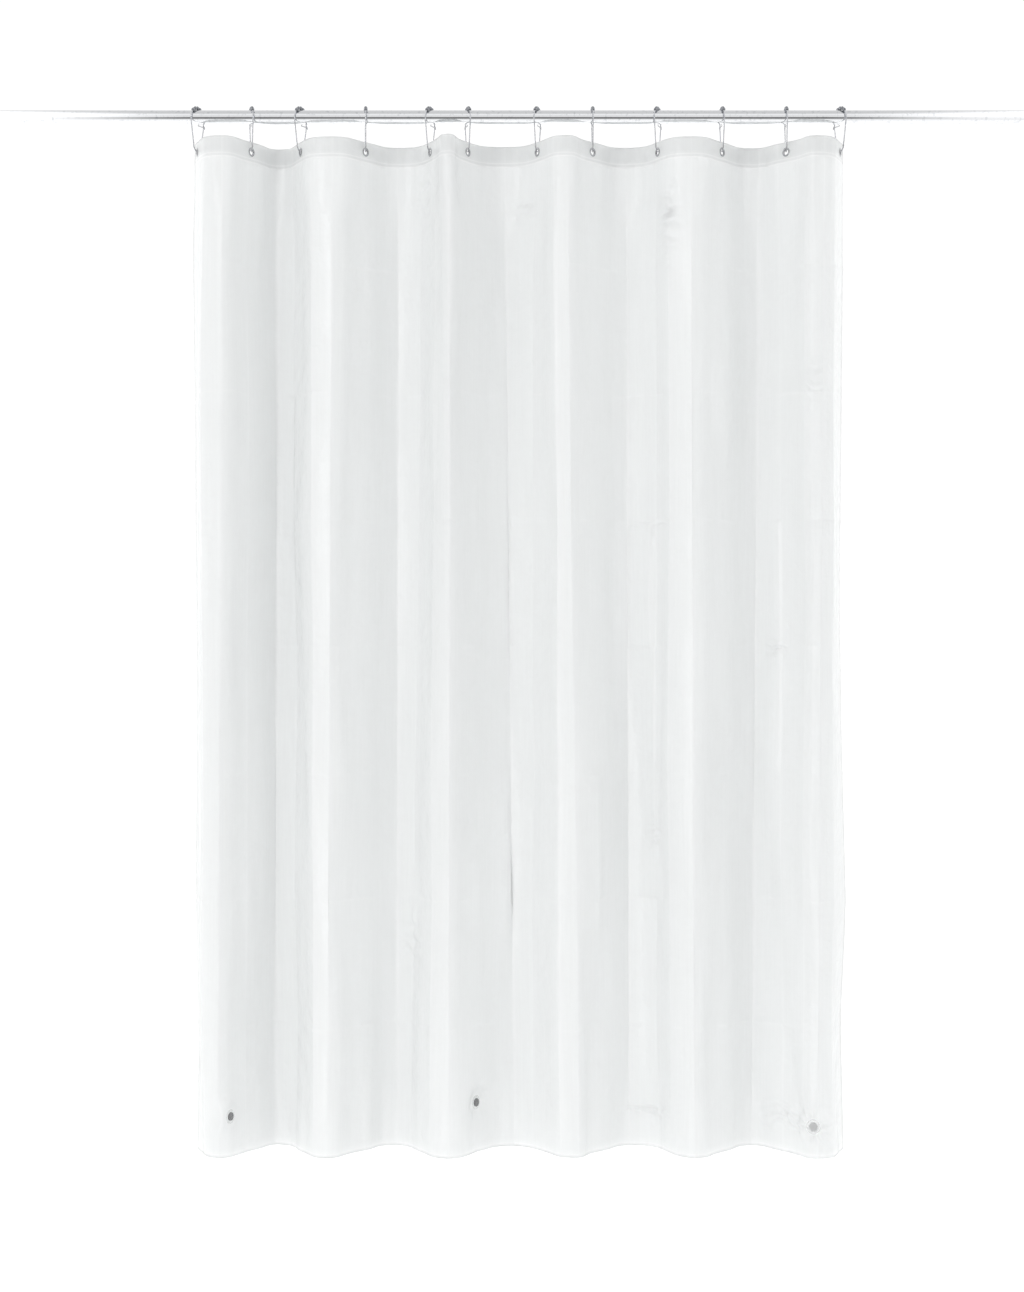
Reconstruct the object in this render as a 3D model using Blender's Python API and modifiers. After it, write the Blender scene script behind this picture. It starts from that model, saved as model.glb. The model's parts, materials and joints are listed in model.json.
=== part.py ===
"""A shower curtain: a film liner with welded header, eyelets and hem magnets, on twelve roller hooks and a rod.

Metres, +Z up, +X along the rod. The origin is the centre of the left foot's outer face, on the rod's axis.
The room's side, from which the curtain is looked at, is -Y.
"""
import math

import bmesh
import bpy
from mathutils import Matrix, Vector

GAP = 0.0003  # between pieces that touch

# Rod
ROD_LENGTH = 1.930
ROD_RADIUS = 0.0127
ROD_WALL = 0.0010
FOOT_LENGTH = 0.024
FOOT_RADIUS = 0.020
FOOT_FLOOR = 0.005
FOOT_FLANGE = 0.006  # thickness of the wide part against the wall
FOOT_SHOULDER = (0.0165, 0.010)  # (radius, distance from the wall)
FOOT_MOUTH = 0.0155

# Liner, cut square from film
FLAT_SIDE = 1.829
EDGE_MARGIN = 0.025  # from an upright edge to the first eyelet
FILM = 0.0009  # solid that stands in for the thin film
LINER_TOP = -0.0448
HEADER_HEIGHT = 0.037  # down to the lower of its two weld lines
HEADER_BAND = 0.0005
EYELET_DROP = 0.018  # from the top edge to an eyelet's centre

# Hanging folds: one fold between each pair of eyelets, towards -Y and +Y in turn
FIRST_EYELET_X = 0.3948
EYELET_GAPS = (0.098, 0.089, 0.118, 0.117, 0.068, 0.126, 0.100, 0.118, 0.117, 0.116, 0.098)
EYELET_SLOPES = (71, 56, 66, 50, 65, 58, 58, 47, 64, 50, 46, 70)  # degrees from the rod's line
HEM_DRIFT = (0.000, -0.003, 0.004, -0.012, -0.018, 0.012, 0.007, 0.014, 0.014, 0.004, -0.002, 0.000)
LAND = 0.011  # straight film either side of an eyelet
FOLD_FULLNESS = 0.62  # how square a fold is

# Eyelet: a flanged barrel at the front and a washer behind
EYELET_BORE = 0.00475
EYELET_BARREL = 0.0055
EYELET_FLANGE = 0.00825
EYELET_PLATE = 0.0006
SHEET_HOLE = 0.0060

# Hook: a wire ring with rollers on its crown, in its own plane through the rod's axis
WIRE_RADIUS = 0.0011
ROLLER_RADIUS = 0.0035
ROLLER_COUNT = 5
ROLLER_BORE = 0.0015
CROWN_RADIUS = 0.0200
CROWN_Z = ROD_RADIUS + ROLLER_RADIUS + GAP - CROWN_RADIUS  # the top roller rests on the rod
HOOK_FOOT_RADIUS = 0.011
HOOK_FOOT_LIFT = 0.0006  # of the wire above an eyelet's centre
LATCH_Z = -(ROD_RADIUS + WIRE_RADIUS + 0.0009)  # the straight end that crosses under the rod
LATCH_ENDS = (0.0015, 0.0165)
KNEE_RADIUS = 0.0025
CATCH = ((0.0212, -0.0140), (0.0222, -0.0180))  # (Y, Z) of the tip that the latch springs against
HOOK_TURNS = (28, -15, 28, -5, 24, -15, 18, -2, 21, -7, 0, -25)  # degrees about the vertical

# Hem magnets, sealed under round film pockets
MAGNET_X = (0.4604, 0.8989, 1.5041)
MAGNET_HEIGHT = (0.074, 0.088, 0.056)  # above the hem
MAGNET_RADIUS = 0.0075
MAGNET_THICKNESS = 0.0020
POCKET_RADIUS = 0.0130
POCKET_FILM = 0.0004

EYELET_PITCH = (FLAT_SIDE - 2 * EDGE_MARGIN) / len(EYELET_GAPS)
LINER_BOTTOM = LINER_TOP - FLAT_SIDE
EYELET_Z = LINER_TOP - EYELET_DROP
EYELET_X = [FIRST_EYELET_X + sum(EYELET_GAPS[:i]) for i in range(len(EYELET_GAPS) + 1)]


def clear_scene():
    for obj in list(bpy.data.objects):
        bpy.data.objects.remove(obj, do_unlink=True)


def collection(name):
    made = bpy.data.collections.new(name)
    bpy.context.scene.collection.children.link(made)
    return made


def material(name, colour, roughness, metallic=0.0):
    made = bpy.data.materials.new(name)
    made.use_nodes = True
    shader = made.node_tree.nodes["Principled BSDF"]
    shader.inputs["Base Color"].default_value = (*colour, 1.0)
    shader.inputs["Roughness"].default_value = roughness
    shader.inputs["Metallic"].default_value = metallic
    return made


def add_object(name, data, mat, where, matrix=None):
    obj = bpy.data.objects.new(name, data)
    where.objects.link(obj)
    if not data.materials:
        data.materials.append(mat)
    if matrix is not None:
        obj.matrix_world = matrix
    return obj


def mesh_from(bm, name):
    mesh = bpy.data.meshes.new(name)
    bm.to_mesh(mesh)
    bm.free()
    return mesh


def applied(obj):
    """The object's evaluated mesh, its loose caps welded, in place of its modifiers or its curve."""
    bpy.context.view_layer.update()
    mesh = bpy.data.meshes.new_from_object(obj.evaluated_get(bpy.context.evaluated_depsgraph_get()))
    bm = bmesh.new()
    bm.from_mesh(mesh)
    bmesh.ops.remove_doubles(bm, verts=bm.verts, dist=0.00001)
    bm.to_mesh(mesh)
    bm.free()
    bpy.data.objects.remove(obj, do_unlink=True)
    return mesh


def boolean(obj, cutter, operation):
    step = obj.modifiers.new(operation.title(), "BOOLEAN")
    step.operation = operation
    step.object = cutter
    step.solver = "EXACT"


# ---- the liner's hanging shape -------------------------------------------------------------------


def bezier(a, b, c, d, t):
    s = 1.0 - t
    return s * s * s * a + 3 * s * s * t * b + 3 * s * t * t * c + t * t * t * d


def half_fold(eyelet_x, crest_x, slope, depth, steps=3):
    """Points from an eyelet to the fold's crest: a straight land, then a curve that flattens at the crest."""
    way = 1.0 if crest_x > eyelet_x else -1.0
    lean = Vector((way * math.cos(slope), math.sin(slope) if depth > 0 else -math.sin(slope)))
    start = Vector((eyelet_x, 0.0))
    land = start + LAND * lean
    crest = Vector((crest_x, depth))
    rise = max(abs(depth) - LAND * math.sin(slope), 0.001)
    first = land + lean * (FOLD_FULLNESS * rise / math.sin(slope))
    last = crest - Vector((way * FOLD_FULLNESS * abs(crest_x - land.x), 0.0))
    curve = [bezier(land, first, last, crest, (i + 1) / steps) for i in range(steps)]
    return [start, land] + curve


def fold(x0, x1, slope0, slope1, depth):
    crest = (x0 + x1) / 2
    going = half_fold(x0, crest, slope0, depth)
    coming = half_fold(x1, crest, slope1, depth)
    return going + coming[-2::-1]


def length_of(points):
    return sum((b - a).length for a, b in zip(points, points[1:]))


def fold_of_length(x0, x1, slope0, slope1, side, length):
    """The fold whose film between two eyelets has the given length, found by halving."""
    shallow, deep = 0.005, 0.120
    for _ in range(40):
        middle = (shallow + deep) / 2
        if length_of(fold(x0, x1, slope0, slope1, side * middle)) < length:
            shallow = middle
        else:
            deep = middle
    return fold(x0, x1, slope0, slope1, side * deep)


def plan(crossings):
    """The liner's line seen from above, from its left edge to its right edge."""
    slopes = [math.radians(angle) for angle in EYELET_SLOPES]
    first = Vector((crossings[0], 0.0))
    points = [first + EDGE_MARGIN * Vector((-math.cos(slopes[0]), math.sin(slopes[0])))]
    for i in range(len(crossings) - 1):
        side = -1.0 if i % 2 == 0 else 1.0
        points += fold_of_length(
            crossings[i], crossings[i + 1], slopes[i], slopes[i + 1], side, EYELET_PITCH
        )[:-1]
    last = Vector((crossings[-1], 0.0))
    points.append(last)
    points.append(last + EDGE_MARGIN * Vector((math.cos(slopes[-1]), math.sin(slopes[-1]))))
    return points


TOP_LINE = plan(EYELET_X)
HEM_LINE = plan([x + drift for x, drift in zip(EYELET_X, HEM_DRIFT)])
STEPS_PER_FOLD = (len(TOP_LINE) - 3) // len(EYELET_GAPS)


def line_at(z):
    """The liner's middle line at a height, as 3-D points."""
    share = (LINER_TOP - z) / FLAT_SIDE
    return [Vector((*top.lerp(hem, share), z)) for top, hem in zip(TOP_LINE, HEM_LINE)]


def outward(line, i):
    """The film's horizontal normal at a point of its line, towards -Y on a flat stretch."""
    along = line[min(i + 1, len(line) - 1)] - line[max(i - 1, 0)]
    return Vector((along.y, -along.x, 0.0)).normalized()


def film_strip(name, top, bottom, offset, thickness):
    """An upright strip of film between two heights, offset towards -Y, as a surface with Solidify."""
    bm = bmesh.new()
    rows = []
    for z in (top, bottom):
        line = line_at(z)
        row = [bm.verts.new(p + offset * outward(line, i)) for i, p in enumerate(line)]
        rows.append(row)
    for a, b, c, d in zip(rows[0], rows[0][1:], rows[1][1:], rows[1]):
        bm.faces.new((d, c, b, a))
    obj = bpy.data.objects.new(name, mesh_from(bm, name))
    solidify = obj.modifiers.new("Film", "SOLIDIFY")
    solidify.thickness = thickness
    solidify.offset = 0.0
    solidify.use_even_offset = True
    return obj


def place_on_film(x_index, z, lift):
    """A frame on the film at a column of its line: local +Z points out of the film, lifted off its middle."""
    line = line_at(z)
    out = outward(line, x_index)
    lower = line_at(z - 0.01)[x_index]
    down = (lower - line[x_index]).normalized()
    side = down.cross(out).normalized()
    out = side.cross(down).normalized()
    turn = Matrix((side, -down, out)).transposed().to_4x4()
    if turn.determinant() < 0:
        turn = Matrix((-side, -down, out)).transposed().to_4x4()
    return Matrix.Translation(line[x_index] + lift * out) @ turn


def place_at_x(x, z, lift):
    """The same, at the place of the film that hangs over x."""
    line = line_at(z)
    i = next(k for k in range(1, len(line) - 2) if (line[k].x - x) * (line[k + 1].x - x) <= 0)
    share = (x - line[i].x) / (line[i + 1].x - line[i].x)
    centre = line[i].lerp(line[i + 1], share)
    along = line[i + 1] - line[i]
    out = Vector((along.y, -along.x, 0.0)).normalized()
    up = Vector((0.0, 0.0, 1.0))
    turn = Matrix((up.cross(out), up, out)).transposed().to_4x4()
    return Matrix.Translation(centre + lift * out) @ turn


# ---- pieces --------------------------------------------------------------------------------------


def turned(name, profile, segments):
    """A closed ring or disc: a profile of (radius, height) turned about local Z."""
    bm = bmesh.new()
    verts = [bm.verts.new((r, 0.0, h)) for r, h in profile]
    for a, b in zip(verts, verts[1:]):
        bm.edges.new((a, b))
    if profile[0][0] > 0:
        bm.edges.new((verts[-1], verts[0]))
    obj = bpy.data.objects.new(name, mesh_from(bm, name))
    screw = obj.modifiers.new("Turn", "SCREW")
    screw.steps = segments
    screw.render_steps = segments
    screw.use_merge_vertices = True
    screw.merge_threshold = 0.00001
    screw.use_normal_calculate = True
    bpy.context.scene.collection.objects.link(obj)
    mesh = applied(obj)
    bm = bmesh.new()
    bm.from_mesh(mesh)
    bmesh.ops.recalc_face_normals(bm, faces=bm.faces)
    if bm.calc_volume(signed=True) < 0:
        bmesh.ops.reverse_faces(bm, faces=bm.faces)
    bm.to_mesh(mesh)
    bm.free()
    mesh.shade_smooth()
    mesh.set_sharp_from_angle(angle=math.radians(35))
    return mesh


def tube(name, points, radius, resolution=1, radii=None):
    """A round wire through the points, with closed ends, as a mesh."""
    curve = bpy.data.curves.new(name, "CURVE")
    curve.dimensions = "3D"
    curve.bevel_depth = radius
    curve.bevel_resolution = resolution
    curve.use_fill_caps = True
    spline = curve.splines.new("POLY")
    spline.points.add(len(points) - 1)
    for i, p in enumerate(points):
        spline.points[i].co = (*p, 1.0)
        spline.points[i].radius = radii[i] if radii else 1.0
    obj = bpy.data.objects.new(name, curve)
    bpy.context.scene.collection.objects.link(obj)
    return applied(obj)


def arc(centre, radius, start, end, steps):
    """Points of an arc in the hook's plane, (Y, Z), by angles in degrees."""
    points = []
    for i in range(steps + 1):
        angle = math.radians(start + (end - start) * i / steps)
        y, z = centre[0] + radius * math.cos(angle), centre[1] + radius * math.sin(angle)
        points.append(Vector((0.0, y, z)))
    return points


def hook_route():
    """The wire from its latch under the rod, down the back, through the eyelet, up the front, over the crown."""
    foot_z = EYELET_Z + HOOK_FOOT_LIFT + HOOK_FOOT_RADIUS
    latch = [Vector((0.0, y, LATCH_Z)) for y in LATCH_ENDS]
    knee = arc((LATCH_ENDS[1], LATCH_Z - KNEE_RADIUS), KNEE_RADIUS, 70, 10, 3)
    foot = arc((0.0, foot_z), HOOK_FOOT_RADIUS, 0, -180, 7)
    crown = arc((0.0, CROWN_Z), CROWN_RADIUS, 180, -25, 11)
    return latch + knee + foot + crown + [Vector((0.0, y, z)) for y, z in CATCH]


def roller_string():
    """Five touching balls along the crown, bored for the wire."""
    pitch = math.degrees(2 * ROLLER_RADIUS / CROWN_RADIUS)
    reach = pitch * ROLLER_COUNT / 2
    steps = 4 * ROLLER_COUNT
    points = arc((0.0, CROWN_Z), CROWN_RADIUS, 90 - reach, 90 + reach, steps)
    neck, shoulder, belly = 0.58, 0.88, 1.0
    radii = [(neck, shoulder, belly, shoulder)[i % 4] for i in range(steps + 1)]
    string = tube("roller_string", points, ROLLER_RADIUS - GAP / 2, 1, radii)
    past = reach + 6
    bore = tube("roller_bore", arc((0, CROWN_Z), CROWN_RADIUS, 90 - past, 90 + past, 8), ROLLER_BORE, 1)
    return string, bore


def build():
    clear_scene()
    parts = collection("Shower_Curtain")
    cutters = collection("Cutters")
    chrome = material("Chrome plated steel", (0.80, 0.81, 0.82), 0.08, 1.0)
    wire_finish = material("Polished hook wire", (0.78, 0.79, 0.80), 0.12, 1.0)
    roller_finish = material("Roller steel", (0.72, 0.73, 0.75), 0.10, 1.0)
    eyelet_finish = material("Nickel plated brass", (0.62, 0.62, 0.63), 0.25, 1.0)
    film = material("Clear white film", (0.92, 0.93, 0.93), 0.28)
    band = material("Header film", (0.90, 0.91, 0.91), 0.32)
    magnet_finish = material("Grey ferrite magnet", (0.22, 0.22, 0.23), 0.45)
    rubber = material("Grey rubber foot", (0.70, 0.71, 0.72), 0.6)

    def cutter(name, data):
        obj = bpy.data.objects.new(name, data)
        cutters.objects.link(obj)
        obj.hide_render = True
        obj.display_type = "WIRE"
        return obj

    # rod and its two feet
    inner = ROD_RADIUS - ROD_WALL
    half_tube = ROD_LENGTH / 2 - FOOT_FLOOR - GAP
    profile = [(ROD_RADIUS, half_tube), (ROD_RADIUS, -half_tube), (inner, -half_tube), (inner, half_tube)]
    along_x = Matrix.Rotation(math.radians(90), 4, "Y")
    middle = Matrix.Translation((ROD_LENGTH / 2, 0, 0)) @ along_x
    add_object("rod_tube", turned("rod_tube", profile, 32), chrome, parts, middle)
    socket = ROD_RADIUS + GAP
    foot_profile = [
        (0.0, 0.0), (FOOT_RADIUS, 0.0), (FOOT_RADIUS, FOOT_FLANGE), FOOT_SHOULDER, (FOOT_MOUTH, FOOT_LENGTH),
        (socket, FOOT_LENGTH), (socket, FOOT_FLOOR), (0.0, FOOT_FLOOR),
    ]
    foot = turned("rod_foot", foot_profile, 24)
    add_object("rod_foot_left", foot, rubber, parts, along_x)
    mirrored = Matrix.Translation((ROD_LENGTH, 0, 0)) @ Matrix.Rotation(math.radians(-90), 4, "Y")
    add_object("rod_foot_right", foot, rubber, parts, mirrored)

    # liner and header, with a hole at each eyelet
    columns = [1 + i * STEPS_PER_FOLD for i in range(len(EYELET_X))]
    hole_cutter = bmesh.new()
    for column in columns:
        at = place_on_film(column, EYELET_Z, 0.0)
        bmesh.ops.create_cone(
            hole_cutter, cap_ends=True, segments=12, radius1=SHEET_HOLE, radius2=SHEET_HOLE,
            depth=0.012, matrix=at,
        )
    holes = cutter("eyelet_holes", mesh_from(hole_cutter, "eyelet_holes"))
    liner = film_strip("liner_sheet", LINER_TOP, LINER_BOTTOM, 0.0, FILM)
    back = -(FILM / 2 + GAP + HEADER_BAND / 2)
    header = film_strip("header_band", LINER_TOP, LINER_TOP - HEADER_HEIGHT, back, HEADER_BAND)
    for obj, finish in ((liner, film), (header, band)):
        parts.objects.link(obj)
        obj.data.materials.append(finish)
        boolean(obj, holes, "DIFFERENCE")

    # eyelets: flange and barrel in front, washer behind
    front_face = FILM / 2 + GAP
    back_face = FILM / 2 + GAP + HEADER_BAND + GAP
    barrel_end = -(back_face + EYELET_PLATE + 0.0002)
    front_profile = [
        (EYELET_BORE, front_face + EYELET_PLATE), (EYELET_FLANGE, front_face + EYELET_PLATE),
        (EYELET_FLANGE, front_face), (EYELET_BARREL, front_face),
        (EYELET_BARREL, barrel_end), (EYELET_BORE, barrel_end),
    ]
    washer_bore = EYELET_BARREL + GAP
    washer_profile = [
        (washer_bore, -back_face), (EYELET_FLANGE, -back_face),
        (EYELET_FLANGE, -back_face - EYELET_PLATE), (washer_bore, -back_face - EYELET_PLATE),
    ]
    flange = turned("eyelet_front", front_profile, 12)
    washer = turned("eyelet_back", washer_profile, 12)

    # hook: wire and bored roller string share one mesh each
    wire = tube("hook_wire", hook_route(), WIRE_RADIUS, 1)
    string, bore = roller_string()
    string_object = bpy.data.objects.new("roller_string", string)
    cutters.objects.link(string_object)
    boolean(string_object, cutter("roller_bore", bore), "DIFFERENCE")
    rollers = applied(string_object)
    for i, (x, column) in enumerate(zip(EYELET_X, columns)):
        tag = f"{i + 1:02d}"
        stand = Matrix.Translation((x, 0, 0)) @ Matrix.Rotation(math.radians(-HOOK_TURNS[i]), 4, "Z")
        add_object(f"hook_wire_{tag}", wire, wire_finish, parts, stand)
        add_object(f"hook_rollers_{tag}", rollers, roller_finish, parts, stand)
        at = place_on_film(column, EYELET_Z, 0.0)
        add_object(f"eyelet_front_{tag}", flange, eyelet_finish, parts, at)
        add_object(f"eyelet_back_{tag}", washer, eyelet_finish, parts, at)

    # magnets and the pockets that seal them to the film's front
    lift = FILM / 2 + GAP
    disc = [(0.0, 0.0), (MAGNET_RADIUS, 0.0), (MAGNET_RADIUS, MAGNET_THICKNESS), (0.0, MAGNET_THICKNESS)]
    inside = MAGNET_RADIUS + GAP
    roof = MAGNET_THICKNESS + GAP
    cover = [
        (0.0, roof), (inside, roof), (inside, 0.0), (POCKET_RADIUS, 0.0), (POCKET_RADIUS, POCKET_FILM),
        (inside + POCKET_FILM, POCKET_FILM), (inside + POCKET_FILM, roof + POCKET_FILM),
        (0.0, roof + POCKET_FILM),
    ]
    magnet = turned("magnet", disc, 16)
    pocket = turned("magnet_pocket", cover, 16)
    for name, x, height in zip(("left", "middle", "right"), MAGNET_X, MAGNET_HEIGHT):
        at = place_at_x(x, LINER_BOTTOM + height, lift)
        add_object(f"magnet_{name}", magnet, magnet_finish, parts, at)
        add_object(f"magnet_pocket_{name}", pocket, film, parts, at)


build()
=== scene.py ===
"""A film shower curtain on roller hooks: the looks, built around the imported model.

Metres, +Z up, +X along the rod. The curtain is looked at from -Y.
"""
import json
import math

import bmesh
import bpy
import numpy as np
from mathutils import Matrix, Vector

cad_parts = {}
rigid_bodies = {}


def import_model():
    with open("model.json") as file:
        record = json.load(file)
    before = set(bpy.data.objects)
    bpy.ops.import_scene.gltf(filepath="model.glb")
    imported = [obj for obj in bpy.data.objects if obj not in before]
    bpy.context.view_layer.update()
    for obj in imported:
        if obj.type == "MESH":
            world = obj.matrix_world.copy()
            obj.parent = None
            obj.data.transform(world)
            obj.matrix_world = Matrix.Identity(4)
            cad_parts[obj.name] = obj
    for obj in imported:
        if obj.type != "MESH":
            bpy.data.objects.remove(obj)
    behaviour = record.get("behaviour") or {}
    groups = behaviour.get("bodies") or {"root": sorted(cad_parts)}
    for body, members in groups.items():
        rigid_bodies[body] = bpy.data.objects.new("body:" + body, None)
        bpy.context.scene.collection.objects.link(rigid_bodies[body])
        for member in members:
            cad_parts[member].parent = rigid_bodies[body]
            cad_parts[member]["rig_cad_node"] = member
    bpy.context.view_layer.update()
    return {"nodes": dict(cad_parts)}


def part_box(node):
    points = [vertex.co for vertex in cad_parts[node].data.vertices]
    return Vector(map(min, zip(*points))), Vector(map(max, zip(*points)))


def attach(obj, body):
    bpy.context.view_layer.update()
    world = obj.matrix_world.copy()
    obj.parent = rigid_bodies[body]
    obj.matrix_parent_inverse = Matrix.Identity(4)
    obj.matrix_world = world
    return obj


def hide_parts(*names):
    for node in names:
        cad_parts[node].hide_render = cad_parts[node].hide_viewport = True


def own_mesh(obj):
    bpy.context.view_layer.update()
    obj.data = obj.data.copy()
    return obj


bl_info = {
    "name": "Film Shower Curtain",
    "version": (1, 0, 0),
    "blender": (4, 5, 0),
    "location": "3D View > Sidebar > Curtain",
    "description": "Builds a translucent film shower curtain on roller hooks and a chrome rod",
    "category": "Add Mesh",
}

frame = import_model()

EYELETS = 12
TAGS = [f"{i + 1:02d}" for i in range(EYELETS)]
MAGNETS = ("left", "middle", "right")
CLEAR = 0.0001  # between layers that touch

# ---- places, read from the frame -------------------------------------------------------------------


def flat_axes(node):
    """Centre and unit normal of a flat round piece, the normal turned towards -Y."""
    points = np.array([v.co for v in frame["nodes"][node].data.vertices])
    low, high = points.min(0), points.max(0)
    normal = np.linalg.svd(points - points.mean(0), full_matrices=False)[2][2]
    if normal[1] > 0:
        normal = -normal
    return Vector((low + high) / 2), Vector(normal)


def through_rod_plane(centre, normal):
    """The place where a piece's axis meets the upright plane under the rod, and its normal."""
    return centre - normal * (centre.y / normal.y), normal


def smoothstep(low, high, x):
    t = np.clip((x - low) / (high - low), 0.0, 1.0)
    return t * t * (3.0 - 2.0 * t)


LINER_LOW, LINER_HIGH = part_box("liner_sheet")
DROP = LINER_HIGH.z - LINER_LOW.z
HEADER_HEIGHT = LINER_HIGH.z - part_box("header_band")[0].z
EYELET_AXES = [through_rod_plane(*flat_axes(f"eyelet_back_{tag}")) for tag in TAGS]
EYELET_X = [place.x for place, _ in EYELET_AXES]
EYELET_Z = sum(place.z for place, _ in EYELET_AXES) / EYELETS
EYELET_DROP = LINER_HIGH.z - EYELET_Z
EYELET_SLOPES = [math.atan2(abs(normal.x), abs(normal.y)) for _, normal in EYELET_AXES]
MAGNET_AXES = [flat_axes(f"magnet_{name}") for name in MAGNETS]
MAGNET_RADIUS = 0.0075
MAGNET_THICKNESS = 0.0020
ROD_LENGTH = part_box("rod_foot_right")[1].x
ROD_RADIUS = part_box("rod_tube")[1].z

# ---- the film's hanging shape ----------------------------------------------------------------------

EDGE_MARGIN = 0.025  # film outside the first and last eyelets
EYELET_PITCH = (DROP - 2 * EDGE_MARGIN) / (EYELETS - 1)  # the liner is cut square
EYELET_FLAT = [EDGE_MARGIN + i * EYELET_PITCH for i in range(EYELETS)]
LAND = 0.011  # straight film either side of an eyelet
FOLD_FULLNESS = 0.62
HEM_DRIFT = (0.000, -0.003, 0.004, -0.012, -0.018, 0.012, 0.007, 0.014, 0.014, 0.004, -0.002, 0.000)
# The liner was packed folded, and hangs in flat facets between its upright creases. Each crease's flat place
# at the top edge and at the hem:
CREASE_LINES = (
    (0.066, 0.060), (0.110, 0.104), (0.176, 0.176), (0.262, 0.258), (0.300, 0.318), (0.389, 0.400),
    (0.433, 0.428), (0.587, 0.600), (0.640, 0.632), (0.700, 0.714), (0.757, 0.757), (0.918, 0.926),
    (0.985, 0.965), (1.052, 1.056), (1.080, 1.090), (1.240, 1.232), (1.310, 1.290), (1.350, 1.338),
    (1.400, 1.396), (1.575, 1.560), (1.622, 1.640), (1.695, 1.690), (1.735, 1.723), (1.765, 1.755),
)
FACET_SHARE = 0.62  # how far the film is from a smooth wave towards flat facets
HEM_EASE = 0.75  # how much of that is lost at the hem


def half_fold(eyelet_x, crest_x, slope, depth, steps=18):
    """Film seen from above, from an eyelet to its fold's crest."""
    way = 1.0 if crest_x > eyelet_x else -1.0
    lean = np.array((way * math.cos(slope), math.copysign(math.sin(slope), depth)))
    start = np.array((eyelet_x, 0.0))
    land = start + LAND * lean
    crest = np.array((crest_x, depth))
    rise = max(abs(depth) - LAND * math.sin(slope), 0.001)
    first = land + lean * (FOLD_FULLNESS * rise / math.sin(slope))
    last = crest - np.array((way * FOLD_FULLNESS * abs(crest_x - land[0]), 0.0))
    t = np.linspace(0.0, 1.0, steps + 1)[:, None]
    s = 1.0 - t
    curve = s**3 * land + 3 * s * s * t * first + 3 * s * t * t * last + t**3 * crest
    return np.vstack((start, curve))


def lengths(points):
    return np.concatenate(((0.0,), np.cumsum(np.linalg.norm(np.diff(points, axis=0), axis=1))))


def fold(x0, x1, slope0, slope1, side):
    """One fold between two eyelets, as deep as its film is long."""
    shallow, deep = 0.005, 0.120
    for _ in range(32):
        depth = side * (shallow + deep) / 2
        crest = (x0 + x1) / 2
        points = np.vstack((half_fold(x0, crest, slope0, depth), half_fold(x1, crest, slope1, depth)[-2::-1]))
        if lengths(points)[-1] < EYELET_PITCH:
            shallow = abs(depth)
        else:
            deep = abs(depth)
    return points


def hanging_line(crossings):
    """Flat distances and places of the film's line from above, edge to edge."""

    def free_edge(i, way):
        out = np.array((way * math.cos(EYELET_SLOPES[i]), math.sin(EYELET_SLOPES[i])))
        return np.array((crossings[i], 0.0)) + EDGE_MARGIN * out

    pieces = [free_edge(0, -1.0)[None]]
    for i in range(EYELETS - 1):
        side = -1.0 if i % 2 == 0 else 1.0
        points = fold(crossings[i], crossings[i + 1], EYELET_SLOPES[i], EYELET_SLOPES[i + 1], side)
        pieces.append(points[:-1])
    pieces.append(np.vstack(((crossings[-1], 0.0), free_edge(-1, 1.0))))
    line = np.vstack(pieces)
    flat = lengths(line)
    return flat * (DROP / flat[-1]), line


HUNG_LINES = (  # along the eyelets and along the hem
    hanging_line(EYELET_X),
    hanging_line([x + drift for x, drift in zip(EYELET_X, HEM_DRIFT)]),
)


def crease_places(v):
    """Flat places of the upright creases at each height, between the film's two edges."""
    top, hem = np.array(((0.0, 0.0), *CREASE_LINES, (DROP, DROP))).T
    return top + (hem - top) * (v / DROP)[:, None]


def hang(u, v):
    """Places and facing directions of flat film points, u across and v down, before any relief."""
    share = (v / DROP)[:, None]
    eased = 1.0 - HEM_EASE * smoothstep(DROP - 0.150, DROP - 0.010, v)
    facet = (FACET_SHARE * smoothstep(0.050, 0.190, v) * eased)[:, None]
    creases = crease_places(v)
    rows = np.arange(len(v))

    def wave(s):
        top, hem = (np.stack([np.interp(s, flat, line[:, k]) for k in (0, 1)], -1) for flat, line in HUNG_LINES)
        return top + (hem - top) * share

    def at(s):
        first = np.clip((s[:, None] >= creases).sum(1) - 1, 0, creases.shape[1] - 2)
        start, end = creases[rows, first], creases[rows, first + 1]
        chord = wave(start) + (wave(end) - wave(start)) * ((s - start) / (end - start))[:, None]
        return wave(s) * (1.0 - facet) + chord * facet

    step = 0.0015
    place = at(u)
    along = at(np.minimum(u + step, DROP)) - at(np.maximum(u - step, 0.0))
    along /= np.linalg.norm(along, axis=1)[:, None]
    facing = np.stack((along[:, 1], -along[:, 0], np.zeros(len(u))), -1)
    return np.column_stack((place, LINER_HIGH.z - v)), facing


def soft_noise(u, v, cell_u, cell_v, seed, sharp=False):
    """Noise from -1 to 1 over the flat film, in cells of a size. Sharp noise has kinks at their edges."""
    rng = np.random.default_rng(seed)
    columns, rows = int(DROP / cell_u) + 3, int(DROP / cell_v) + 3
    heights = rng.uniform(-1.0, 1.0, (columns, rows))
    a, b = u / cell_u, v / cell_v
    i, j = np.floor(a).astype(int), np.floor(b).astype(int)
    s, t = a - i, b - j
    if not sharp:
        s, t = s * s * (3 - 2 * s), t * t * (3 - 2 * t)
    left = heights[i, j] * (1 - t) + heights[i, j + 1] * t
    right = heights[i + 1, j] * (1 - t) + heights[i + 1, j + 1] * t
    return left * (1 - s) + right * s


# The liner was folded in eight from its top to its hem, which leaves these level creases in the flat film.
CREASE_ROWS = [DROP * k / 8 for k in range(1, 8)]
WELD_LINES = (HEADER_HEIGHT - 0.0065, HEADER_HEIGHT - 0.0006)
HEM_LINE_DOWN = DROP - 0.0060
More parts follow.
